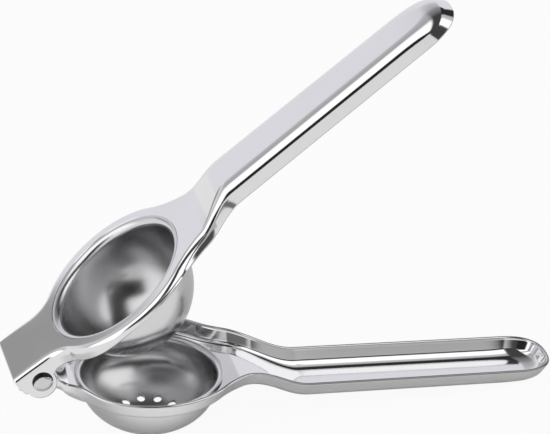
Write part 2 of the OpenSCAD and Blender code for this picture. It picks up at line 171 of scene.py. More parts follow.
class CupSizes(bpy.types.PropertyGroup):
    """Sizes of the drawn cups and their drain holes."""

    sheet: length("Sheet", "Thickness of the cups' steel", 0.001)
    press_r: length("Press radius", "Outside radius under the shoulder", 0.0284)
    press_depth: length("Press depth", "Outside depth below the upper web", 0.0332)
    press_shoulder: length("Press shoulder", "Radius from the web into the cup", 0.0029)
    strainer_r: length("Strainer radius", "Outside radius where it leaves the tray", 0.0276)
    strainer_depth: length("Strainer depth", "Outside depth below the tray", 0.0202)
    strainer_flat: length("Flat bottom", "Radius of the flat bottom", 0.009)
    strainer_lip: length("Strainer lip", "Width of the lip on the tray", 0.0016)
    strainer_mouth: length("Strainer mouth", "Radius of the rounded mouth", 0.002)
    gap: length("Seat gap", "Gap between a cup and its hole", 0.00005)
    drain_d: length("Drain hole", "Diameter of one drain hole", 0.0034)
    drain_ring: length("Drain ring", "Radius of the inner ring of holes", 0.0064)
    drain_step: bpy.props.IntProperty(
        name="Drain step", description="Holes added per ring", default=6, min=4, max=7
    )


class RivetSizes(bpy.types.PropertyGroup):
    """Sizes of the hinge rivet."""

    pin_r: length("Shank radius", "Radius of the shank", 0.0025)
    bore_gap: length("Running clearance", "Clearance of the shank in its holes", 0.00005)
    head_r: length("Head radius", "Radius of the formed heads", 0.0041)
    head_h: length("Head height", "Height of each head", 0.0018)
    head_edge: length("Head edge", "Height of the heads' straight edge", 0.0003)
    # width of the painted shade crescent on the rivet's heads
    shade_crescent_width: share("Rim width", "Widest part of the dark rim, as a share of the head's radius", 0.3)


class SteelFinish(bpy.types.PropertyGroup):
    """Colours and polish of the three steels."""

    arm_colour: paint("Arm steel", "Colour of the polished arms", (0.80, 0.80, 0.81))
    cup_colour: paint("Cup steel", "Colour of the drawn cups", (0.72, 0.72, 0.73))
    rivet_colour: paint("Rivet steel", "Colour of the rivet", (0.66, 0.66, 0.67))
    arm_rough: share("Arm roughness", "Blur of reflections on the arms", 0.08)
    cup_rough: share("Cup roughness", "Blur of reflections on the cups", 0.2)
    rivet_rough: share("Rivet roughness", "Blur of reflections on the rivet", 0.06)
    # share of the rivet's colour left in the painted shade crescent on its heads
    rivet_shade_share: share("Rivet rim", "Share of the rivet's colour that is left along its heads' rim", 0.05)
    # the arms' edges are darkened partly as a duller sheared edge and partly as a painted dark reflection line
    edge_dull_and_shade_share: share("Sheared edge", "Share of the arms' colour that is left on their sheared edges", 0.22)
    rim_rough: share("Sheared edge roughness", "Blur of reflections on the sheared edges", 0.35)
    bowl_share: share("Cup inside", "Share of the cups' colour that is left inside them", 0.78)
    bowl_rough: share("Cup inside roughness", "Blur of reflections inside the cups", 0.23)


class StudioSettings(bpy.types.PropertyGroup):
    """The light tent round the press."""

    back_level: level("Back cloth", "cloth behind the press", 0.86)
    top_level: level("Overhead", "overhead softbox", 1.35)
    slit_level: level("Slit", "dark slit under the softbox", 0.02)
    gap_level: level("Gap", "dark gap behind the softbox", 0.03)
    front_level: level("Front cloth", "cloth on the camera's side", 0.85)
    flag_level: level("Neck flag", "dark flag on the floor that the upper neck mirrors", 0.07)
    tip_level: level("Tip card", "card that the upper handle's tip mirrors", 0.85)
    tray_level: level("Tray flag", "dark flag that the tray's far wall mirrors", 0.16)
    card_level: level("Hinge card", "grey card that the hinge end mirrors", 0.36)


# ---- shared shapes


def ease(x, a, b):
    """Smooth step: 3t^2 - 2t^3, with t the share of the way from a to b, held between 0 and 1."""
    t = np.clip((x - a) / (b - a), 0.0, 1.0)
    return t * t * (3.0 - 2.0 * t)


def mix(a, b, k):
    """Straight blend: a + (b - a) k."""
    return a + (b - a) * k


def spots(x, y, z):
    """Points whose coordinates are given one axis at a time, spread to a common grid."""
    return np.stack(np.broadcast_arrays(x, y, z), axis=-1)


def tilted(points, angle):
    """Turns points about the Y axis: x' = x cos a + z sin a, z' = z cos a - x sin a."""
    c, s = math.cos(angle), math.sin(angle)
    x, y, z = points[..., 0], points[..., 1], points[..., 2]
    return spots(x * c + z * s, y, z * c - x * s)


def seated(points, opened):
    """From sizes about the pin to the model's frame: the upper arm opens, then all tilts onto the table."""
    arm = bpy.context.scene.press_arms
    if opened:
        points = tilted(points, -arm.open_angle)
    return tilted(points, arm.rest_tilt) + np.array([PIN_X, PIN_Y, PIN_Z])


def along_pin(points):
    """Lays a turned shape down along the pin, by swapping its Y and Z."""
    return points[..., [0, 2, 1]]


def at_cup(scene, points):
    """Moves a turned shape to the cups' axis."""
    return points + np.array([scene.press_arms.cup_x, 0, 0])


def make_mesh(name, verts, faces, maps=None):
    """A mesh from whole arrays: (n, 3) points and (m, 4) corners, doubles merged and thin faces dropped.

    maps holds (m, 4, 2) arrays: "around" is what the round brushing follows, and the first number of "finish"
    is 1 on the faces that are darkened: a duller finish, and painted shade on the rivet's heads and the arms'
    edges.
    """
    mesh = bpy.data.meshes.new(name)
    mesh.from_pydata(verts.reshape(-1, 3), [], faces.reshape(-1, 4).tolist())
    for key, values in (maps or {}).items():
        mesh.uv_layers.new(name=key).uv.foreach_set("vector", values.ravel())
    bm = bmesh.new()
    bm.from_mesh(mesh)
    bmesh.ops.remove_doubles(bm, verts=bm.verts, dist=DOUBLES)
    bmesh.ops.dissolve_degenerate(bm, edges=bm.edges, dist=DOUBLES)
    bmesh.ops.recalc_face_normals(bm, faces=bm.faces)
    bm.to_mesh(mesh)
    bm.free()
    return mesh


def loop_faces(rows, cols):
    """Corners of a grid of rows x cols points whose columns close on themselves."""
    i, j = np.meshgrid(np.arange(rows - 1), np.arange(cols), indexing="ij")
    k = (j + 1) % cols
    corners = [i * cols + j, i * cols + k, (i + 1) * cols + k, (i + 1) * cols + j]
    return np.stack(corners, axis=-1).reshape(-1, 4)


def finish_map(dull_and_shade):
    """The finish map of a grid of faces, one number for each whole face."""
    return np.repeat(np.repeat(dull_and_shade.reshape(-1, 1, 1).astype(float), 4, axis=1), 2, axis=2)


def around_map(steps, cols):
    """Map of a lathed surface: turns along the first axis, and the share of the profile along the second."""
    i, j = np.meshgrid(np.arange(steps), np.arange(cols), indexing="ij")
    u = np.stack([i, i + 1, i + 1, i], axis=-1) / steps
    v = np.stack([j, j, j + 1, j + 1], axis=-1) / cols
    return np.stack([u, v], axis=-1).reshape(-1, 4, 2)


def add_piece(name, mesh):
    """A new object at the origin that holds the mesh."""
    piece = bpy.data.objects.new(name, mesh)
    bpy.context.scene.collection.objects.link(piece)
    return piece


def lathe(profile, steps, closed=True):
    """Profile points (r, z) turned about Z to (r cos a, r sin a, z). closed joins the profile's two ends."""
    a = np.linspace(0.0, 2.0 * np.pi, steps, endpoint=False)
    r, z = profile[:, 0], profile[:, 1]
    points = spots(np.outer(np.cos(a), r), np.outer(np.sin(a), r), z)
    cols = len(profile)
    i, j = np.meshgrid(np.arange(steps), np.arange(cols), indexing="ij")
    k, m = (i + 1) % steps, (j + 1) % cols
    if not closed:
        i, j, k, m = (v[:, :-1] for v in (i, j, k, m))
    corners = [i * cols + j, k * cols + j, k * cols + m, i * cols + m]
    return points, np.stack(corners, axis=-1).reshape(-1, 4)


def cut(piece, cutters):
    """Cuts each closed cutter out of the piece by an exact Boolean, and keeps the result as its mesh."""
    for n, mesh in enumerate(cutters):
        tool = add_piece("cutter_%d" % n, mesh)
        step = piece.modifiers.new("cut", "BOOLEAN")
        step.operation = "DIFFERENCE"
        step.solver = "EXACT"
        step.object = tool
        depsgraph = bpy.context.evaluated_depsgraph_get()
        result = bpy.data.meshes.new_from_object(piece.evaluated_get(depsgraph))
        piece.modifiers.clear()
        old = piece.data
        piece.data = result
        bpy.data.meshes.remove(old)
        bpy.data.objects.remove(tool)


def polish(piece):
    """Smooth shading, with the sharp edges kept crisp."""
    piece.data.shade_smooth()
    piece.data.set_sharp_from_angle(angle=CRISP_ANGLE)


# ---- the stamped arms


def straight_end(arm):
    """Where the hinge's straight sides end: cup_x - sqrt((R + f)^2 - (w + f)^2), f: radius of the hollow."""
    hollow = arm.hinge_hollow_r
    return arm.cup_x - math.sqrt((arm.ring_r + hollow) ** 2 - (arm.hinge_hw + hollow) ** 2)


def half_outline(arm, reach, lobe_x, lobe_r):
    """Stations along one side: hinge straight, hollow arc, ring arc, hollow arc, taper and superellipse tip.

    Returns x, half width, and the outward normal's x and y. The arcs meet where the line between their
    centres crosses, so the outline has no kink: the hollow's centre lies at hinge half width + hollow radius.
    """
    d, big = arm.cup_x, arm.ring_r
    f1, f2 = arm.hinge_hollow_r, arm.neck_hollow_r
    x1 = straight_end(arm)
    x2 = d + math.sqrt((big + f2) ** 2 - (arm.neck_hw + f2) ** 2)
    g1 = math.asin((arm.hinge_hw + f1) / (big + f1))
    g2 = math.asin((arm.neck_hw + f2) / (big + f2))

    def hollow(x, w, f, a):
        """Arc of radius f that starts along the outline at (x, w): (x + f sin a, w + f - f cos a)."""
        return np.stack([x + f * np.sin(a), w + f - f * np.cos(a), -np.sin(a), np.cos(a)])

    round_end = arm.sheet / 2 * (1 - np.cos(np.linspace(0, math.pi / 2, END_STEPS + 1)))
    ear = lobe_x - lobe_r * np.cos(np.linspace(0, math.pi, EAR_STEPS + 1))
    before_ear = np.linspace(-arm.tail + arm.sheet / 2, ear[0], BEFORE_EAR_STEPS + 1)[1:-1]
    after_ear = np.linspace(ear[-1], x1, AFTER_EAR_STEPS + 1)[1:-1]
    straight = np.concatenate([-arm.tail + round_end, before_ear, ear, after_ear])
    rows = [np.stack([straight, np.full_like(straight, arm.hinge_hw), 0 * straight, 1 + 0 * straight])]

    rows.append(hollow(x1, arm.hinge_hw, f1, np.linspace(0.0, math.pi / 2 - g1, HINGE_HOLLOW_STEPS + 1)))
    a = np.linspace(math.pi - g1, g2, RING_STEPS + 1)[1:-1]
    rows.append(np.stack([d + big * np.cos(a), big * np.sin(a), np.cos(a), np.sin(a)]))
    rows.append(hollow(x2, arm.neck_hw, f2, np.linspace(g2 - math.pi / 2, 0.0, NECK_HOLLOW_STEPS + 1)))

    crowding = 1.7  # the stations of the taper lie closer together at the neck
    k = np.linspace(0.0, 1.0, TAPER_STEPS + 1)[1:] ** crowding
    slant = math.atan((arm.neck_hw - arm.tip_hw) / (arm.lower_reach - arm.tip_len - x2))
    x = x2 + (reach - arm.tip_len - x2) * k
    width = mix(arm.neck_hw, arm.tip_hw, k)
    rows.append(np.stack([x, width, 0 * x + math.sin(slant), 0 * x + math.cos(slant)]))

    a = np.linspace(0.0, math.pi / 2, TIP_STEPS + 1)[1:]
    p = arm.tip_power
    cos_a = np.clip(np.cos(a), 0, 1)
    x = reach - arm.tip_len + arm.tip_len * np.sin(a) ** (2 / p)
    w = arm.tip_hw * cos_a ** (2 / p)
    gx, gy = np.sin(a) ** (2 - 2 / p) / arm.tip_len, cos_a ** (2 - 2 / p) / arm.tip_hw
    w[-1], gy[-1] = 0.0, 0.0
    g = np.hypot(gx, gy)
    rows.append(np.stack([x, w, gx / g, gy / g]))
    return np.concatenate(rows, axis=1)


def scoop(arm, x, reach):
    """Rise of the web at the tip: h t^2, with t the share of the way along the last stretch."""
    return arm.scoop * np.clip((x - reach + arm.scoop_len) / arm.scoop_len, 0.0, None) ** 2


def tip_grow(x, reach):
    """How far the rounded edge has widened towards the tip, from 0 to 1."""
    first, last = 0.022, 0.002
    return ease(x, reach - first, reach - last)


def wall_turn(a, b, draft, wall):
    """Angle on an elliptic corner of a by b where the drafted wall runs into it without a kink.

    The tangent from the wall's foot (a + draft, -wall) touches the ellipse where u cos w - v sin w = 1, with
    u = (a + draft) / a and v = wall / b.
    """
    u, v = (a + draft) / a, wall / b
    return np.arccos(np.clip(1 / np.hypot(u, v), -1, 1)) - np.arctan2(v, u)


def sheet_surface(arm, plan, reach, up, web, rim, edge_a, edge_b, draft, inset):
    """A bent sheet as one closed surface.

    plan is the half outline. At each station the section runs from the flange's edge down the drafted wall,
    round an elliptic corner of edge_a by edge_b, and straight over the web to the middle line, then mirrored.
    The inner face is the same section one sheet thickness in, and a half circle joins the two along the
    flange's edge. The first stations close the hinge end with a half circle too. up is 1 for a web on top and
    -1 for a tray.
    """
    x, w, nx, ny = (v[:, None] for v in plan)
    t = arm.sheet
    station = np.arange(x.shape[0])[:, None]
    skin = t / 2 * (1 - np.sin(np.minimum(station, END_STEPS) / END_STEPS * math.pi / 2))
    half = t / 2 - skin
    a, b, f, g, rim_z = edge_a(x), edge_b(x), draft(x), inset(x), rim(x)

    # At the tip the web's points run to a short stretch of the middle line, so that they fan out.
    short, stretch = 0.004, 0.0045
    lag = np.clip(station - (len(station) - TIP_STEPS - 1), 0, None) / TIP_STEPS
    spine = reach - arm.tip_len - short + stretch * lag

    def placed(step):
        """Points that far in from the outline, along its normal."""
        return x - step * nx, np.maximum(0.0, w - g - step * ny)

    def face(depth):
        """Points of one face at that depth in the sheet, from the flange edge to the middle."""
        stand = np.maximum(up * (web(x) - rim_z) - b, 0.0)
        start = wall_turn(a - depth, b - depth, f, stand)
        corner = mix(start, math.pi / 2, np.linspace(0.0, 1.0, CORNER_STEPS + 1)[None, :])
        corner_step = f + a - (a - depth) * np.cos(corner)
        corner_x, corner_y = placed(corner_step)
        corner_z = web(corner_x) - up * (b - (b - depth) * np.sin(corner))
        edge_z = rim_z + up * half
        wall = np.linspace(0.0, 1.0, WALL_STEPS + 1)[None, 1:]
        wall_step = mix(depth, corner_step[:, :1], wall)
        over = np.linspace(0.0, 1.0, WEB_STEPS + 1)[None, 1:]
        foot_x, foot_y = placed(f + a)
        web_x = mix(foot_x, np.minimum(foot_x, spine), over)
        return np.concatenate(
            [
                spots(*placed(depth), edge_z),
                spots(*placed(wall_step), mix(edge_z, corner_z[:, :1], wall)),
                spots(corner_x, corner_y, corner_z)[:, 1:],
                spots(web_x, foot_y * (1 - over), web(web_x) - up * depth),
            ],
            axis=1,
        )

    turned = np.linspace(0.0, math.pi, EDGE_STEPS + 2)[None, 1:-1]
    bead = spots(*placed(t / 2 - half * np.cos(turned)), rim_z + up * half * (1 - np.sin(turned)))
    outer, inner = face(skin), face(t - skin)
    near_in, near_bead = (inner * MIRRORED)[:, -2::-1], (bead * MIRRORED)[:, ::-1]
    return np.concatenate([outer * MIRRORED, outer[:, -2::-1], bead, inner, near_in, near_bead], axis=1)


def sheared(points, outer, inner, fade=None):
    """Finish of the faces on the half circle along the flange's edge, in the columns that sheet_surface lays:
    partly a duller sheared edge, and partly a painted dark line that stands in for the reflection along it.

    One number is for its outer part and one for its inner part. Along fade, a stretch of X, the outer number
    grows from the inner one.
    """
    rows, cols = points.shape[0] - 1, points.shape[1]
    side = (cols - 2 * EDGE_STEPS) // 2
    dark = (EDGE_STEPS + 1) // 2 - 1
    finish = np.zeros((rows, cols))
    far, near = side - 1, cols - EDGE_STEPS - 1
    finish[:, far : far + EDGE_STEPS + 1] = finish[:, near:] = inner
    grown = mix(inner, outer, ease(points[1:, :1, 0], *fade)) if fade else outer
    finish[:, far + 1 : far + 1 + dark] = finish[:, cols - 1 - dark : cols - 1] = grown
    return finish


def ring_cutter(scene, r, level, start, end, opened):
    """Cylinder about the cup's axis, flared by a small chamfer at the level so that the cut edge is eased."""
    away = 1.0 if end > start else -1.0
    past = 0.4
    wide = r + CUT_EDGE * (1 + past)
    first, last = level + start, level + end
    chamfer = [[r, level - away * CUT_EDGE], [wide, level + away * CUT_EDGE * past]]
    profile = np.array([[0, first], [r, first], *chamfer, [wide, last], [0, last]])
    points, faces = lathe(profile, PRESS_STEPS)
    return make_mesh("ring_cutter", seated(at_cup(scene, points), opened), faces)


def pin_cutter(scene, opened):
    """Cylinder along the hinge pin."""
    r = scene.rivet_sizes.pin_r + scene.rivet_sizes.bore_gap
    reach = scene.press_arms.hinge_hw * 2
    profile = np.array([[0, -reach], [r, -reach], [r, reach], [0, reach]])
    points, faces = lathe(profile, PIN_HOLE_STEPS)
    return make_mesh("pin_cutter", seated(along_pin(points), opened), faces)


def press_mouth(cups):
    """Radius inside the press cup's rounded shoulder."""
    return cups.press_r - cups.sheet + cups.press_shoulder


def upper_arm_surface(scene):
    """Press arm: heights are eased steps along X, and the ears' round end is z0 - sqrt(r^2 - (x - x0)^2)."""
    arm, up = scene.press_arms, scene.upper_arm_sizes
    ear_x, ear_z, r = -up.ear_back, -up.ear_drop, up.ear_r
    start = arm.cup_x + arm.ring_r + up.rise_gap
    ring_lead, neck_lead, neck_lag, ear_lag = 0.006, 0.009, 0.003, 0.003

    def rise(x):
        """How far the web has risen towards the handle, from 0 to 1."""
        return ease(x, start, start + up.rise_len)

    def web(x):
        """Height of the web's outer face."""
        level = mix(up.tail_z, up.web_z, ease(x, -arm.tail, arm.cup_x - press_mouth(scene.cup_sizes)))
        return level + up.web_rise * rise(x) - scoop(arm, x, arm.upper_reach)

    def rim(x):
        """Height of the flange's edge: end slope, ears' round end, then hinge, ring, neck and handle."""
        ring = mix(up.rim_z, up.ring_rim_z, ease(x, arm.cup_x - arm.ring_r + ring_lead, arm.cup_x))
        neck = mix(ring, up.neck_rim_z, ease(x, arm.cup_x + neck_lead, start + neck_lag))
        flange = mix(neck, up.handle_rim_z, rise(x))
        lobe = ear_z - np.sqrt(np.clip(r * r - (x - ear_x) ** 2, 0, None))
        back = ear_z + ear_x - r - x
        front = mix(ear_z, flange, ease(x, ear_x + r, ear_x + r + ear_lag))
        return np.where(np.abs(x - ear_x) < r, lobe, np.where(x < ear_x, back, front))

    def edge_a(x):
        """Width of the rounded edge."""
        handle = mix(up.edge_w, up.handle_edge_w, rise(x))
        return mix(handle, arm.tip_edge_w, tip_grow(x, arm.upper_reach))

    return sheet_surface(
        arm,
        half_outline(arm, arm.upper_reach, ear_x, r),
        arm.upper_reach,
        1,
        web,
        rim,
        edge_a,
        edge_b=lambda x: mix(up.edge_w, up.handle_edge_h, rise(x)),
        draft=lambda x: arm.draft * rise(x),
        inset=lambda x: 0.0 * x,
    )


def lower_arm_surface(scene):
    """Strainer arm: a tray whose ears step in behind the upper ones, and whose handle drops and slopes."""
    arm, low, cups = scene.press_arms, scene.lower_arm_sizes, scene.cup_sizes
    upper_ear_r = scene.upper_arm_sizes.ear_r
    r = low.ear_r
    x1 = max(straight_end(arm), upper_ear_r)
    flat_x = arm.cup_x - cups.strainer_r - cups.strainer_lip
    blend_x = flat_x + 0.008
    drop_x = arm.cup_x + arm.ring_r - low.drop_lead
    mid = drop_x + low.drop_len / 2
    joggle_x = upper_ear_r + 0.0016
    joggle_len = 0.0022
    floor_lag, shoulder_lag, hollow_lead, least_wall = 0.001, 0.0016, 0.003, 0.0004
    back_x, front_x = -0.8 * r, 0.9 * r
    back_z, front_z = math.sqrt(r * r - back_x * back_x), math.sqrt(r * r - front_x * front_x)
    end_wall = 0.001
    slant = (low.tail_depth + back_z - arm.sheet - end_wall) / (arm.tail + back_x)

    def dropping(x):
        """How far the tray has dropped towards the handle, from 0 to 1."""
        return ease(x, drop_x, drop_x + low.drop_len)

    def fall(x):
        """How much lower the handle lies, by the drop and by its slope."""
        return low.drop * dropping(x) + math.tan(low.slope) * np.maximum(0.0, x - mid)

    def web(x):
        """Height of the tray's outer face."""
        level = mix(low.tail_depth, low.web_depth, ease(x, r - floor_lag, flat_x - cups.gap))
        return -level - fall(x) - low.deepen * dropping(x) + scoop(arm, x, arm.lower_reach)

    def rim(x):
        """Height of the flange's edge: end slope, ears' round end, then ring and handle."""
        back = back_z + (x - back_x) * slant
        lobe = np.sqrt(np.clip(r * r - x * x, 0, None))
        front = (
            mix(front_z, -low.shoulder_depth, ease(x, -back_x, x1 + shoulder_lag))
            - (low.rim_depth - low.shoulder_depth) * ease(x, x1, blend_x)
            - fall(x)
        )
        return np.where(x < back_x, back, np.where(x < front_x, lobe, front))

    def ring_edge(x):
        """Radius of the rounded edge along hinge and ring, larger beside the hinge."""
        hollow = low.hollow_round * ease(x, joggle_x, flat_x - hollow_lead)
        return low.edge_r + hollow * (1 - ease(x, flat_x, blend_x))

    def edge_a(x):
        """Width of the rounded edge."""
        handle = mix(ring_edge(x), low.handle_w, dropping(x))
        return mix(handle, arm.tip_edge_w, tip_grow(x, arm.lower_reach))

    def edge_b(x):
        """Height of the rounded edge, which leaves a little wall under it."""
        return np.minimum(mix(ring_edge(x), low.handle_h, dropping(x)), rim(x) - web(x) - least_wall)

    return sheet_surface(
        arm,
        half_outline(arm, arm.lower_reach, 0.0, r),
        arm.lower_reach,
        -1,
        web,
        rim,
        edge_a,
        edge_b,
        draft=lambda x: arm.draft * ease(x, x1, blend_x),
        inset=lambda x: (arm.sheet + low.ear_gap) * (1 - ease(x, joggle_x, joggle_x + joggle_len)),
    )


# ---- the drawn cups and the rivet


def quarter_turn(r_mid, z_mid, r):
    """A rounded shoulder: r_mid - r sin a, z_mid + r cos a, for a from 0 to a right angle."""
    a = np.linspace(0.0, math.pi / 2, SHOULDER_POINTS)
    return np.stack([r_mid - r * np.sin(a), z_mid + r * np.cos(a)], axis=1)


def bowl(r, z, drop, reach, steps):
    """An elliptic bowl wall: r cos a, z - drop sin a / sin reach, for a from 0 to reach."""
    a = np.linspace(0.0, reach, steps)
    return np.stack([r * np.cos(a), z - drop * np.sin(a) / math.sin(reach)], axis=1)


def press_cup_profile(scene):
    """Press cup: shoulder and bowl outside, and the same one sheet in."""
    web_z, c = scene.upper_arm_sizes.web_z, scene.cup_sizes
    mouth = press_mouth(c)
    top, drop = web_z - c.press_shoulder, c.press_depth - c.press_shoulder

    def skin(depth):
        """One face at that depth in the sheet, from the mouth down to the middle."""
        shoulder = quarter_turn(mouth, top, c.press_shoulder - c.sheet + depth)
        wall = bowl(c.press_r - depth, top, drop - depth, math.pi / 2, PRESS_BOWL_POINTS)
        wall[-1, 0] = 0.0
        return np.concatenate([shoulder, wall[1:]])

    down, aside, shut = 0.0003, 0.00008, 0.0001
    eased = [[mouth - aside, web_z - aside], [mouth, web_z - down], [mouth, web_z - c.sheet + shut]]
    return np.concatenate([skin(0.0), skin(c.sheet)[::-1][:-1], eased])


def strainer_cup_profile(scene):
    """Strainer cup: a lip on the tray, a rounded mouth, a bowl and a flat bottom."""
    c = scene.cup_sizes
    tray = -scene.lower_arm_sizes.web_depth
    floor = tray + scene.press_arms.sheet
    lip_top = floor + c.sheet
    lip, reach = c.strainer_r + c.strainer_lip, math.acos(c.strainer_flat / c.strainer_r)

    def skin(r, deep):
        """Bowl and flat bottom of one face."""
        flat = [[c.strainer_flat * 0.5, tray - deep], [0.0, tray - deep]]
        return np.concatenate([bowl(r, tray, deep, reach, STRAINER_BOWL_POINTS), flat])

    r_in = c.strainer_r - c.sheet
    mouth = quarter_turn(r_in + c.strainer_mouth, lip_top - c.strainer_mouth, c.strainer_mouth)
    inside = np.concatenate([[[lip, lip_top]], mouth, skin(r_in, c.strainer_depth - c.sheet)])
    eased, shut = 0.0002, 0.0001
    return np.concatenate(
        [
            [[lip, floor], [c.strainer_r, floor]],
            skin(c.strainer_r, c.strainer_depth),
            inside[::-1][:-1],
            [[lip - eased, lip_top], [lip, lip_top - eased], [lip, floor + shut]],
        ]
    )


def dull_bowl(profile, steps, top):
    """True on the faces of a cup's inside below the top: past the lowest point of the profile."""
    j, slack = np.arange(len(profile)), 1e-6
    inside = (j > np.argmin(profile[:, 1])) & (profile[:, 1] <= top + slack)
    return np.tile(inside, (steps, 1))


def drain_cutters(scene):
    """All drain holes as one cutter: short cylinders through the bowl's bottom, on hexagonal rings."""
    c = scene.cup_sizes
    bottom = -scene.lower_arm_sizes.web_depth - c.strainer_depth
    first, last, r = bottom - 0.004, bottom + 0.009, c.drain_d / 2
    points, faces = lathe(np.array([[0, first], [r, first], [r, last], [0, last]]), DRAIN_STEPS)
    inner, outer = c.drain_step, 2 * c.drain_step
    ring = c.drain_ring * np.concatenate([[0], np.repeat(1, inner), np.repeat(2, outer)])
    a = np.concatenate([[0.0], np.arange(inner) / inner, np.arange(outer) / outer]) * 2 * math.pi
    centre = spots(ring * np.cos(a), ring * np.sin(a), 0.0)
    every = points.reshape(1, -1, 3) + centre[:, None, :]
    corners = faces[None] + (np.arange(len(centre)) * every.shape[1])[:, None, None]
    return make_mesh("drain_cutter", seated(at_cup(scene, every), False), corners)


def rivet_profile(scene):
    """Rivet about its axis: a shank with domed heads, edge + (height - edge) (1 - (r / R)^3) high."""
    w, r = scene.press_arms.hinge_hw, scene.rivet_sizes
    out = np.linspace(1.0, 0.0, DOME_POINTS)
    dome = w + r.head_edge + (r.head_h - r.head_edge) * (1 - out**3)
    half = np.stack([r.head_r * out, dome], axis=1)
    shank = [[r.head_r, -w], [r.pin_r, -w], [r.pin_r, 0.0], [r.pin_r, w], [r.head_r, w]]
    return np.concatenate([half[::-1] * np.array([1.0, -1.0]), shank, half])


def painted_shade_crescent(rivet, profile):
    """Painted shade on the rivet: a dark crescent along each head's rim, widest just past the top, standing in
    for the shade and dark reflection there.

    Its width is w (0.25 + 0.9 cos (a - a0)), as a share of the radius, with a the angle round the head from
    the handle side and a0 just past the top.
    """
    a = (np.arange(RIVET_STEPS)[:, None] + 0.5) / RIVET_STEPS * 2 * math.pi
    even, swing, widest_at, least, soft = 0.25, 0.9, math.radians(105), 0.04, 0.04
    width = rivet.shade_crescent_width * np.clip(even + swing * np.cos(a - widest_at), least, 1.0)
    out = (profile[:, 0] + np.roll(profile[:, 0], -1)) / 2 / rivet.head_r
    return ease(out[None, :], 1 - soft - width, 1 + soft - width)


# ---- steel


BLACK, WHITE = (0.0, 0.0, 0.0, 1.0), (1.0, 1.0, 1.0, 1.0)


class Nodes:
    """Short calls for one material's or world's node tree."""

    def __init__(self, holder):
        holder.use_nodes = True
        self.tree = holder.node_tree
        self.tree.nodes.clear()

    def add(self, kind, sockets=None, **settings):
        """A new node. A socket takes a value, an output, or a node, which stands for its first output."""
        node = self.tree.nodes.new("ShaderNode" + kind)
        for key, value in settings.items():
            setattr(node, key, value)
        for key, value in (sockets or {}).items():
            if isinstance(value, bpy.types.Node):
                value = value.outputs[0]
            if isinstance(value, bpy.types.NodeSocket):
                self.tree.links.new(value, node.inputs[key])
            else:
                node.inputs[key].default_value = value
        return node

    def maths(self, operation, *values):
        """One sum of numbers and outputs."""
        return self.add("Math", dict(enumerate(values)), operation=operation)

    def ranged(self, value, start, end, low=0.0, high=1.0, steps="LINEAR"):
        """The value moved from start..end to low..high, and held there."""
        sockets = {"Value": value, "From Min": start, "From Max": end, "To Min": low, "To Max": high}
        return self.add("MapRange", sockets, interpolation_type=steps)

    def blend(self, kind, factor, a, b):
        """Blend of two numbers or two colours."""
        return self.add("Mix", {"Factor": factor, "A": a, "B": b}, data_type=kind).outputs["Result"]

    def noise(self, place, scale, detail, roughness=0.5, distortion=0.0):
        """Layered noise between 0 and 1."""
        sockets = {"Vector": place, "Scale": scale, "Detail": detail}
        sockets.update({"Roughness": roughness, "Distortion": distortion})
        return self.add("TexNoise", sockets)

    def axes(self, vector):
        """The X, Y and Z of a vector."""
        return self.add("SeparateXYZ", {"Vector": vector}).outputs

    def ramp(self, value, stops, interpolation="LINEAR"):
        """A ramp through stops given as (position, colour)."""
        node = self.add("ValToRGB", {"Fac": value})
        band = node.color_ramp
        band.interpolation = interpolation
        for _ in stops[2:]:
            band.elements.new(0.5)
        for element, (position, colour) in zip(band.elements, stops):
            element.position = position
            element.color = colour
        return node

    def show(self, shader, output="OutputMaterial"):
        """Sends the shader to the tree's output."""
        self.add(output, {"Surface": shader})


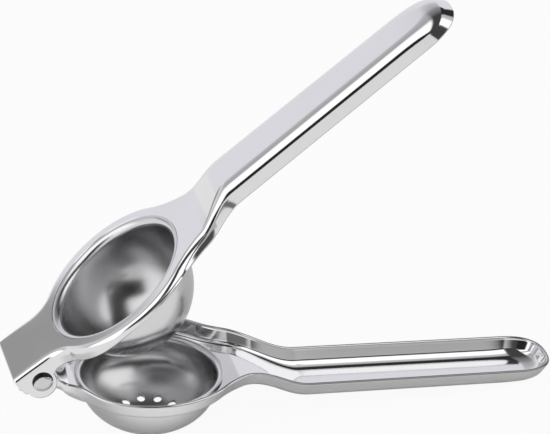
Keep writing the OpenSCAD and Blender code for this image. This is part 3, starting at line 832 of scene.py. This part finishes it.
def steel(name, colour, rough, grain, brushed_round, dull_and_shade_share, dull_rough):
    """Polished sheet steel: faint drawing lines, soft buffing clouds and a few hairline marks.

    grain is how fast the drawing lines change along each axis. Roughness is its base value plus a share of
    the clouds and of the hairlines. The bump is the same hairlines at a few micrometres, so that they only
    catch the light at a glancing angle. Where the finish map is 1, the colour is multiplied by the given share
    and the roughness goes to dull_rough: that marks a duller finish, and painted shade on the rivet's heads and
    the arms' edges.
    """
    n = Nodes(bpy.data.materials.new(name))
    place = n.add("TexCoord").outputs["Object"]
    along = n.add("Mapping", {"Vector": place, "Scale": grain})
    lines = n.noise(along, scale=900.0, detail=4.0, roughness=0.55)
    clouds = n.noise(place, scale=46.0, detail=5.0, roughness=0.6, distortion=0.4)
    slanting = n.add("Mapping", {"Vector": place, "Rotation": (0.3, 0.2, 0.6), "Scale": (40.0, 620.0, 620.0)})
    hairlines = n.ramp(n.noise(slanting, scale=1.0, detail=2.0), [(0.66, BLACK), (0.74, WHITE)])
    dull_and_shade = n.axes(n.add("UVMap", uv_map="finish"))["X"]

    clearest, cloudiest, scratch_rough, scratch_height = 0.85, 1.25, 0.03, 0.5
    cloudy = n.ranged(clouds, 0.3, 0.75, low=rough * clearest, high=rough * cloudiest)
    marked = n.maths("MULTIPLY_ADD", hairlines, scratch_rough, cloudy)
    dulled = n.maths("MULTIPLY", cloudy, dull_rough / rough)

    dark, light = [c * 0.96 for c in colour], [min(1.0, c * 1.03) for c in colour]
    tone = n.blend("RGBA", clouds, (*dark, 1.0), (*light, 1.0))
    # where the finish map is 1 the colour drops: a duller finish, and painted shade on the rivet's heads and
    # the arms' edges
    left = n.ranged(dull_and_shade, 0.0, 1.0, low=1.0, high=dull_and_shade_share)
    base = n.add("VectorMath", {0: tone, "Scale": left}, operation="SCALE")

    relief = n.maths("MULTIPLY_ADD", hairlines, scratch_height, lines)
    bump = n.add("Bump", {"Strength": 0.08, "Distance": 0.00002, "Height": relief})
    metal = {"Metallic": 1.0, "Base Color": base, "Normal": bump}
    metal["Roughness"] = n.blend("FLOAT", dull_and_shade, marked, dulled)
    if brushed_round:
        metal["Anisotropic"] = brushed_round
        metal["Tangent"] = n.add("Tangent", direction_type="UV_MAP", uv_map="around")
    n.show(n.add("BsdfPrincipled", metal))


def dressed(piece, material_name, node, body):
    """Polishes the piece, gives it its steel and puts it in its CAD node's place, on that node's body."""
    polish(piece)
    piece.data.materials.clear()
    piece.data.materials.append(bpy.data.materials[material_name])
    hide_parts(node)
    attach(piece, body)


def add_arm(scene, name, points, edge_dull_and_shade, ring, opened):
    """A bent sheet with the cup's hole and the pin holes cut through it."""
    # the finish map darkens the flange's edge: a duller sheared edge with a painted dark line
    maps = {"finish": finish_map(edge_dull_and_shade)}
    piece = add_piece(name, make_mesh(name, seated(points, opened), loop_faces(*points.shape[:2]), maps))
    cut(piece, [ring, pin_cutter(scene, opened)])
    return piece


def add_cup(scene, name, profile, steps, top, opened):
    """A cup turned about its axis, with its inside duller below the top."""
    points, faces = lathe(profile, steps)
    maps = {"around": around_map(*points.shape[:2]), "finish": finish_map(dull_bowl(profile, steps, top))}
    return add_piece(name, make_mesh(name, seated(at_cup(scene, points), opened), faces, maps))


# ---- the studio

FLOOR_HALF = 3.0
TENT_RADIUS = 2.2
# Cards that only the steel sees: name, skin, level, where they are full across and up, and corners.
CARDS = (
    (
        "hinge_card", "grey_card", "card_level", (0.15, 0.85), (0.2, 0.62),
        [(-0.34, 0.25, 0.05), (-0.19, 0.25, 0.05), (-0.19, 0.25, 0.205), (-0.34, 0.25, 0.205)],
    ),
    (
        "neck_flag", "dark_flag", "flag_level", (0.08, 0.92), (0.1, 0.8),
        [(0.77, -1.9, 0.002), (2.17, -1.9, 0.002), (1.44, -0.1, 0.002), (0.04, -0.1, 0.002)],
    ),
    (
        "tip_card", "white_card", "tip_level", (0.12, 0.88), (0.1, 0.93),
        [(-0.046, -0.25, 0.243), (-0.014, -0.25, 0.243), (0.031, -0.25, 0.322), (-0.001, -0.25, 0.322)],
    ),
    (
        "tray_flag", "tray_flag", "tray_level", (0.1, 0.8), (0.25, 0.85),
        [(-0.17, -0.25, 0.118), (0.07, -0.25, 0.118), (0.07, -0.25, 0.152), (-0.17, -0.25, 0.152)],
    ),
)
# How white the steel sees the floor: axis, start and end along it, and the shares before and after. Near the
# press the share drops, a painted shadow that the steel mirrors.
FLOOR_GLOW_WITH_PAINTED_SHADOW = (
    ("Y", -0.05, -0.015, 0.75, 0.04),
    ("X", -0.125, -0.095, 0.75, 0.04),
    ("Y", 0.30, 0.55, 0.0, 0.70),
)
CAMERA_GLOW = 0.93
LILAC, LILAC_FROM = (0.995, 0.98, 1.03), 0.7


def steel_sees(n, rays):
    """1 on the rays by which the steel sees the stage, and 0 on the others."""
    return n.maths("MAXIMUM", rays["Is Glossy Ray"], rays["Is Transmission Ray"])


def floor_paper():
    """Pale paper with its soft shadow. The camera sees it as plain white, and the steel sees it partly so, with
    a painted shadow band near the press where that white glow drops away.
    """
    material = bpy.data.materials.new("floor_paper")
    n = Nodes(material)
    rays = n.add("LightPath").outputs
    axis_of = n.axes(n.add("TexCoord").outputs["Object"])
    glow = 0.0
    # the glow drops near the press: a painted shadow in what the steel mirrors
    for axis, start, end, low, high in FLOOR_GLOW_WITH_PAINTED_SHADOW:
        glow = n.maths("MAXIMUM", glow, n.ranged(axis_of[axis], start, end, low, high, "SMOOTHSTEP"))
    mirrored = n.maths("MULTIPLY", steel_sees(n, rays), glow)
    seen = n.maths("MULTIPLY_ADD", rays["Is Camera Ray"], CAMERA_GLOW, mirrored)
    paper = n.add("BsdfPrincipled", {"Roughness": 0.9, "Base Color": (0.90, 0.89, 0.875, 1.0)})
    n.show(n.add("MixShader", {"Fac": seen, 1: paper, 2: n.add("Emission", {"Strength": 1.0})}))
    return material


def add_floor():
    """A square of the pale paper, at the height on which the press stands."""
    mesh = bpy.data.meshes.new("floor")
    s = FLOOR_HALF
    mesh.from_pydata([(-s, -s, 0), (s, -s, 0), (s, s, 0), (-s, s, 0)], [], [(0, 1, 2, 3)])
    floor = add_piece("floor", mesh)
    floor.data.materials.append(floor_paper())


def white_world(scene):
    """World: plain white to the camera and in the steel, and a little lower as the light on the floor."""
    scene.world = bpy.data.worlds.new("white_world")
    n = Nodes(scene.world)
    rays = n.add("LightPath").outputs
    seen = n.maths("MAXIMUM", rays["Is Camera Ray"], steel_sees(n, rays))
    floor_light, white = 0.85, 1.0
    n.show(n.add("Background", {"Strength": n.blend("FLOAT", seen, floor_light, white)}), "OutputWorld")


def cloth(position, level):
    """Colour of the cloth: grey in front and overhead, and faintly lilac behind the press."""
    tint = LILAC if position > LILAC_FROM else (1.0, 1.0, 1.0)
    return (level * tint[0], level * tint[1], level * tint[2], 1.0)


def tent_cloth(studio):
    """Glowing cloth of the tent, whose level depends on the way round from the front, over the top.

    The angle from the front horizon over the top is atan2(z, -y), as a share of half a turn. Along it come
    the front cloth, a dark slit, the overhead softbox, a dark gap behind it, and the back cloth. Five such
    panels stand side by side from left to right, and the third has no softbox. Each is given with the stretch
    of X, as a share of the tent's radius, over which it takes over from the one on its left.
    """
    front, slit, top = studio.front_level, studio.slit_level, studio.top_level
    gap, back = studio.gap_level, studio.back_level
    foot = 0.05
    overhead = [(0.18, slit), (0.25, top), (0.49, top), (0.52, 0.5 * top), (0.60, 0.4 * top)]
    overhead += [(0.63, gap), (0.79, gap), (0.81, back)]
    far_left = [(0.0, 0.96 * top), (0.60, top), (0.68, 0.75 * back), (0.80, 0.75 * back), (0.86, back)]
    left = [(0.0, front), (0.138, front), (0.148, slit), (0.30, slit), (0.33, top), (0.58, top)]
    left += [(0.66, 0.5 * back), (0.79, 0.62 * back), (0.85, back)]
    middle = [(0.0, front), (0.12, front), (0.155, 2 * gap), (0.64, 2 * gap)]
    middle += [(0.78, 0.35 * back), (0.85, back)]
    right = [(0.0, 0.6 * front), (0.114, 0.6 * front), (0.124, slit)]
    far_right = [(0.0, foot), (0.03, foot), (0.045, 0.96 * top), (0.125, 0.96 * top), (0.135, slit)]
    panels = (
        (None, far_left),
        ((-0.80, -0.69), left),
        ((-0.28, -0.16), middle),
        ((0.24, 0.29), right + overhead),
        ((0.64, 0.72), far_right + overhead),
    )
    material = bpy.data.materials.new("tent_cloth")
    n = Nodes(material)
    place = n.add("TexCoord").outputs["Object"]
    way = n.axes(n.add("VectorMath", {0: place}, operation="NORMALIZE"))
    angle = n.maths("ARCTAN2", way["Z"], n.maths("MULTIPLY", way["Y"], -1.0))
    round_share = n.maths("DIVIDE", angle, math.pi)
    tent = None
    for stretch, stops in panels:
        stops = [*stops, (1.0, back)]
        panel = n.ramp(round_share, [(position, cloth(position, level)) for position, level in stops])
        if stretch:
            panel = n.blend("RGBA", n.ranged(way["X"], *stretch, steps="SMOOTHSTEP"), tent, panel)
        tent = panel
    n.show(n.add("Emission", {"Color": tent}))
    return material


def card_skin(name, level, full_across, full_up):
    """Glowing card whose edges fade out: its cover is the product of two eased steps across and up."""
    material = bpy.data.materials.new(name)
    n = Nodes(material)
    place = n.axes(n.add("UVMap", uv_map="card"))
    covers = []
    for axis, (first, last) in (("X", full_across), ("Y", full_up)):
        stops = [(0.0, BLACK), (first, WHITE), (last, WHITE), (1.0, BLACK)]
        covers.append(n.ramp(place[axis], stops, "EASE"))
    cover = n.maths("MULTIPLY", *covers)
    glow = n.add("Emission", {"Strength": level})
    n.show(n.add("MixShader", {"Fac": cover, 1: n.add("BsdfTransparent"), 2: glow}))
    return material


def hidden_from_camera(piece):
    """Cards and cloth are there for the steel alone."""
    piece.visible_camera = False
    piece.visible_shadow = False
    return piece


def card(name, corners, skin):
    """A flat four-cornered card with its own map from 0 to 1 across and up."""
    mesh = bpy.data.meshes.new(name)
    mesh.from_pydata(corners, [], [(0, 1, 2, 3)])
    layer = mesh.uv_layers.new(name="card")
    layer.uv.foreach_set("vector", [0.0, 0.0, 1.0, 0.0, 1.0, 1.0, 0.0, 1.0])
    piece = hidden_from_camera(add_piece(name, mesh))
    piece.visible_diffuse = False
    mesh.materials.append(skin)


def light_tent(studio):
    """Half ball of cloth round the press: r (cos u cos v, cos u sin v, sin u), open at the floor."""
    below_floor, up_steps, round_steps = math.radians(2), 33, 96
    u = np.linspace(-below_floor, math.pi / 2, up_steps)
    profile = TENT_RADIUS * np.stack([np.cos(u), np.sin(u)], axis=1)
    profile[-1, 0] = 0.0
    points, faces = lathe(profile, round_steps, closed=False)
    piece = hidden_from_camera(add_piece("light_tent", make_mesh("light_tent", points, faces)))
    piece.data.shade_smooth()
    piece.data.materials.append(tent_cloth(studio))


def aim_camera(scene):
    """A long lens from the front left, well above the table.

    Its eye and its two directions are given in the lower arm's own frame, before that arm is tilted.
    """
    arm = scene.press_arms
    eye = seated(np.array([-0.26384, -1.31526, 0.79197]), False)
    right = tilted(np.array([0.96887197, -0.24525413, 0.03372707]), arm.rest_tilt)
    ahead = tilted(np.array([0.23123387, 0.84863678, -0.47615572]), arm.rest_tilt)
    ahead = ahead / np.linalg.norm(ahead)
    right = right - ahead * right.dot(ahead)
    right = right / np.linalg.norm(right)
    basis = np.stack([right, np.cross(right, ahead), -ahead], axis=1)
    data = bpy.data.cameras.new("camera")
    data.sensor_width = 36.0
    data.lens = 261.82
    data.clip_start, data.clip_end = 0.05, 50.0
    camera = bpy.data.objects.new("camera", data)
    camera.matrix_world = Matrix.Translation(Vector(eye)) @ Matrix(basis.tolist()).to_4x4()
    scene.collection.objects.link(camera)
    scene.camera = camera


# ---- operators


class PRESS_OT_steels(bpy.types.Operator):
    """Makes the three steels: arms, cups and rivet"""

    bl_idname = "press.steels"
    bl_label = "Steels"

    def execute(self, context):
        f = context.scene.steel_finish
        plain, brushed = 0.0, 0.6
        arm_grain, cup_grain, pin_grain = (0.04, 1.0, 1.0), (0.5, 0.5, 0.2), (1.0, 0.3, 1.0)
        steel("polished_arm_steel", f.arm_colour, f.arm_rough, arm_grain, plain, f.edge_dull_and_shade_share, f.rim_rough)
        steel("drawn_cup_steel", f.cup_colour, f.cup_rough, cup_grain, brushed, f.bowl_share, f.bowl_rough)
        steel("plain_rivet_steel", f.rivet_colour, f.rivet_rough, pin_grain, plain, f.rivet_shade_share, f.rim_rough)
        return {"FINISHED"}


class PRESS_OT_upper_arm(bpy.types.Operator):
    """Makes the press arm: a bent sheet with the cup's hole and the pin holes cut through it"""

    bl_idname = "press.upper_arm"
    bl_label = "Upper arm"

    def execute(self, context):
        scene = context.scene
        cups = scene.cup_sizes
        points = upper_arm_surface(scene)
        # the edge's finish is a duller sheared edge with a painted dark line
        edge_dull_and_shade = sheared(points, outer=0.15, inner=0.3)
        hole, web = press_mouth(cups) + cups.gap, scene.upper_arm_sizes.web_z
        ring = ring_cutter(scene, hole, web, start=-0.006, end=0.004, opened=True)
        piece = add_arm(scene, "press_arm_sheet", points, edge_dull_and_shade, ring, True)
        dressed(piece, "polished_arm_steel", "upper_arm", "upper")
        return {"FINISHED"}


class PRESS_OT_press_cup(bpy.types.Operator):
    """Makes the domed press cup"""

    bl_idname = "press.press_cup"
    bl_label = "Press cup"

    def execute(self, context):
        scene = context.scene
        top = scene.upper_arm_sizes.web_z - scene.cup_sizes.press_shoulder
        piece = add_cup(scene, "press_cup_bowl", press_cup_profile(scene), PRESS_STEPS, top, True)
        dressed(piece, "drawn_cup_steel", "press_cup", "upper")
        return {"FINISHED"}


class PRESS_OT_lower_arm(bpy.types.Operator):
    """Makes the strainer arm: a bent tray with the cup's hole and the pin holes cut through it"""

    bl_idname = "press.lower_arm"
    bl_label = "Lower arm"

    def execute(self, context):
        scene = context.scene
        cups = scene.cup_sizes
        points = lower_arm_surface(scene)
        # along the handle the edge's outer part darkens further, a painted dark line
        edge_dull_and_shade = sheared(points, outer=0.8, inner=0.3, fade=(0.07, 0.1))
        hole, tray = cups.strainer_r + cups.gap, -scene.lower_arm_sizes.web_depth
        ring = ring_cutter(scene, hole, tray, start=0.005, end=-0.003, opened=False)
        piece = add_arm(scene, "strainer_arm_tray", points, edge_dull_and_shade, ring, False)
        dressed(piece, "polished_arm_steel", "lower_arm", "lower")
        return {"FINISHED"}


class PRESS_OT_strainer_cup(bpy.types.Operator):
    """Makes the strainer cup with its drain holes"""

    bl_idname = "press.strainer_cup"
    bl_label = "Strainer cup"

    def execute(self, context):
        scene = context.scene
        top = -scene.lower_arm_sizes.web_depth
        piece = add_cup(scene, "strainer_cup_bowl", strainer_cup_profile(scene), STRAINER_STEPS, top, False)
        cut(piece, [drain_cutters(scene)])
        dressed(piece, "drawn_cup_steel", "strainer_cup", "lower")
        return {"FINISHED"}


class PRESS_OT_rivet(bpy.types.Operator):
    """Makes the hinge rivet"""

    bl_idname = "press.rivet"
    bl_label = "Hinge rivet"

    def execute(self, context):
        scene = context.scene
        profile = rivet_profile(scene)
        points, faces = lathe(profile, RIVET_STEPS)
        # the finish map paints a shade crescent along the rivet heads' rims
        maps = {"finish": finish_map(painted_shade_crescent(scene.rivet_sizes, profile))}
        mesh = make_mesh("hinge_rivet", seated(along_pin(points), False), faces, maps)
        piece = add_piece("hinge_rivet", mesh)
        dressed(piece, "plain_rivet_steel", "hinge_pin", "upper")
        return {"FINISHED"}


class PRESS_OT_stage(bpy.types.Operator):
    """Makes the floor, the light tent, its cards and the camera"""

    bl_idname = "press.stage"
    bl_label = "Stage"

    def execute(self, context):
        scene = context.scene
        scene.view_settings.view_transform = "Standard"
        add_floor()
        white_world(scene)
        studio = scene.studio_settings
        light_tent(studio)
        for name, skin, level, across, up, corners in CARDS:
            card(name, corners, card_skin(skin, getattr(studio, level), across, up))
        aim_camera(scene)
        return {"FINISHED"}


class PRESS_PT_panel(bpy.types.Panel):
    """Lists the press's pieces and their sizes"""

    bl_idname = "PRESS_PT_panel"
    bl_label = "Citrus Press"
    bl_space_type = "VIEW_3D"
    bl_region_type = "UI"
    bl_category = "Citrus Press"

    def draw(self, context):
        scene = context.scene
        for operator in OPERATORS:
            self.layout.operator(operator.bl_idname)
        for holder, group in GROUPS.items():
            box = self.layout.box()
            box.label(text=holder.replace("_", " ").capitalize())
            for key in group.__annotations__:
                box.prop(getattr(scene, holder), key)


GROUPS = {
    "press_arms": PressArmSizes,
    "upper_arm_sizes": UpperArmSizes,
    "lower_arm_sizes": LowerArmSizes,
    "cup_sizes": CupSizes,
    "rivet_sizes": RivetSizes,
    "steel_finish": SteelFinish,
    "studio_settings": StudioSettings,
}
OPERATORS = (
    PRESS_OT_steels,
    PRESS_OT_upper_arm,
    PRESS_OT_press_cup,
    PRESS_OT_lower_arm,
    PRESS_OT_strainer_cup,
    PRESS_OT_rivet,
    PRESS_OT_stage,
)


def register():
    """Registers the groups, operators and panel, and gives the scene its settings."""
    for group in GROUPS.values():
        bpy.utils.register_class(group)
    for operator in OPERATORS:
        bpy.utils.register_class(operator)
    bpy.utils.register_class(PRESS_PT_panel)
    for holder, group in GROUPS.items():
        setattr(bpy.types.Scene, holder, bpy.props.PointerProperty(type=group))


def unregister():
    """Takes the settings and all registered classes away again."""
    for holder in GROUPS:
        delattr(bpy.types.Scene, holder)
    bpy.utils.unregister_class(PRESS_PT_panel)
    for operator in reversed(OPERATORS):
        bpy.utils.unregister_class(operator)
    for group in reversed(list(GROUPS.values())):
        bpy.utils.unregister_class(group)


def main():
    """Builds the press and its stage."""
    register()
    bpy.ops.press.steels()
    bpy.ops.press.upper_arm()
    bpy.ops.press.press_cup()
    bpy.ops.press.lower_arm()
    bpy.ops.press.strainer_cup()
    bpy.ops.press.rivet()
    bpy.ops.press.stage()


if __name__ == "__main__":
    main()
